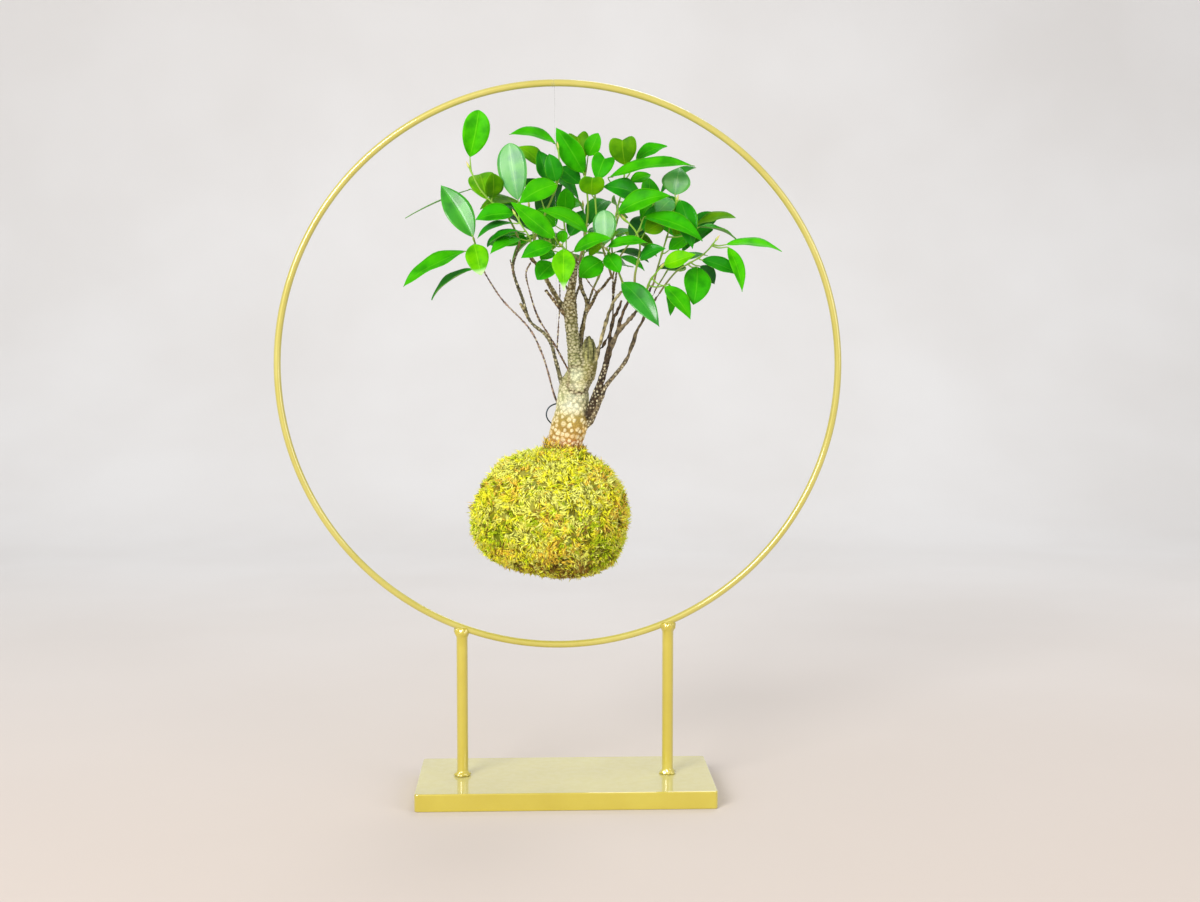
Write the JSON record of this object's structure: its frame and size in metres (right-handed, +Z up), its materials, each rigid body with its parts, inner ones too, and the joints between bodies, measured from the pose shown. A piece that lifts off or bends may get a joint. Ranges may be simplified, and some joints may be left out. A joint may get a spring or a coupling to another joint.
{
  "type": "kokedama bonsai in a ring stand",
  "caption": "Small fig bonsai in a round moss ball, hung on a clear line in a slim gold ring that stands on posts and a flat rectangular base plate.",
  "frame": {"origin": "centre of the base plate's underside", "axes": "+Z up; +X to the right along the plate's long side and in the ring's plane; the front looks along +Y"},
  "size_m": [0.399, 0.1387, 0.5051],
  "materials": {
    "gold_paint": "glossy gold paint",
    "moss": "living moss, yellow-green with orange tips, matt and fibrous",
    "soil": "packed dark soil and roots, matt",
    "bark": "olive-beige bark with pale bumps, matt",
    "leaf": "waxy green leaf, semi-gloss",
    "dark_wire": "thin dark wire",
    "clear_line": "clear nylon line"
  },
  "bodies": {
    "root": {"base_plate": "gold_paint", "post_left": "gold_paint", "post_right": "gold_paint", "ring": "gold_paint", "moss_cover": "moss", "soil_ball": "soil", "trunk_and_branches": "bark", "trunk_wire": "dark_wire", "hanging_line": "clear_line", "shoot_left_top": "leaf", "shoot_left_low": "leaf", "shoot_left_middle": "leaf", "shoot_behind_front": "leaf", "shoot_front": "leaf", "shoot_left_fork": "leaf", "shoot_top": "leaf", "shoot_top_middle": "leaf", "shoot_top_right": "leaf", "shoot_middle": "leaf", "shoot_right_middle": "leaf", "shoot_right_top": "leaf", "shoot_right_low": "leaf", "shoot_right_tip": "leaf", "shoot_back_middle": "leaf", "shoot_back_left": "leaf", "shoot_back_right": "leaf", "shoot_far_left": "leaf", "shoot_far_right": "leaf", "shoot_right_back": "leaf"}
  },
  "joints": []
}
